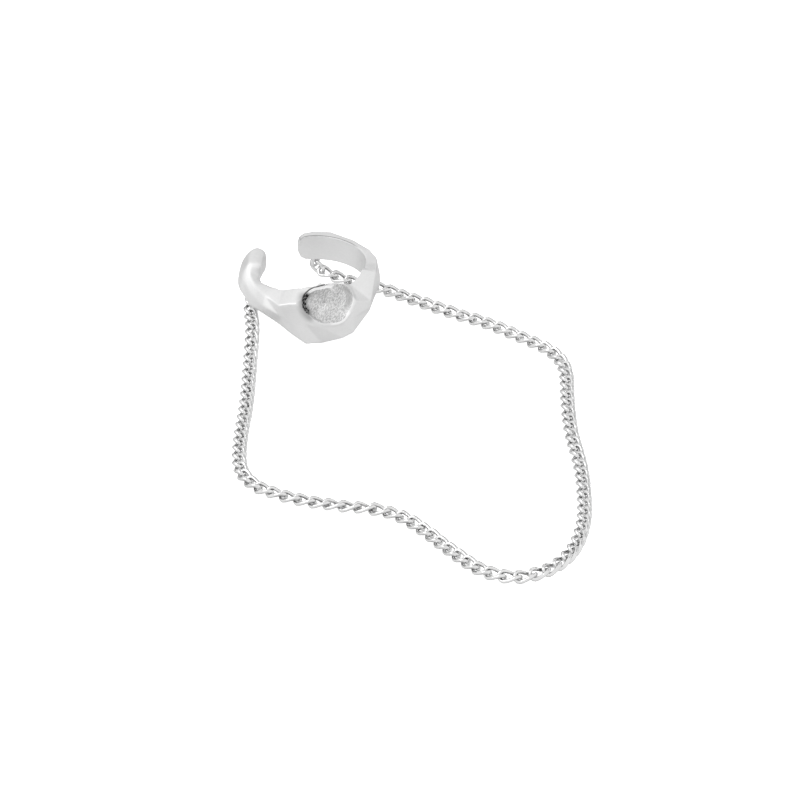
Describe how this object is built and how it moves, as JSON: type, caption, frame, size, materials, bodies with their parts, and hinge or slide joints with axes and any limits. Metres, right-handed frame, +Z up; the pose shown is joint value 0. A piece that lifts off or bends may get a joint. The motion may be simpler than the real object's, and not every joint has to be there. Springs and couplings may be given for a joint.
{
  "type": "ear cuff with chain",
  "caption": "Open, softly faceted silver ear cuff with a brushed oval dish, its two arms joined by a long loose curb chain.",
  "frame": {"origin": "on the surface it lies on, at the axis of the cuff's bore", "axes": "+Z up along the bore's axis, the cuff's dish faces -Y and the chain lies towards -Y and +X"},
  "size_m": [0.0317, 0.055, 0.0054],
  "materials": {
    "cuff_silver": "sterling silver, softly polished facets, a brushed dish at the front",
    "ring_silver": "polished sterling silver wire",
    "chain_silver": "polished sterling silver wire links"
  },
  "bodies": {
    "root": {"cuff": "cuff_silver", "ring_right": "ring_silver", "ring_left": "ring_silver", "chain": "chain_silver"}
  },
  "joints": []
}
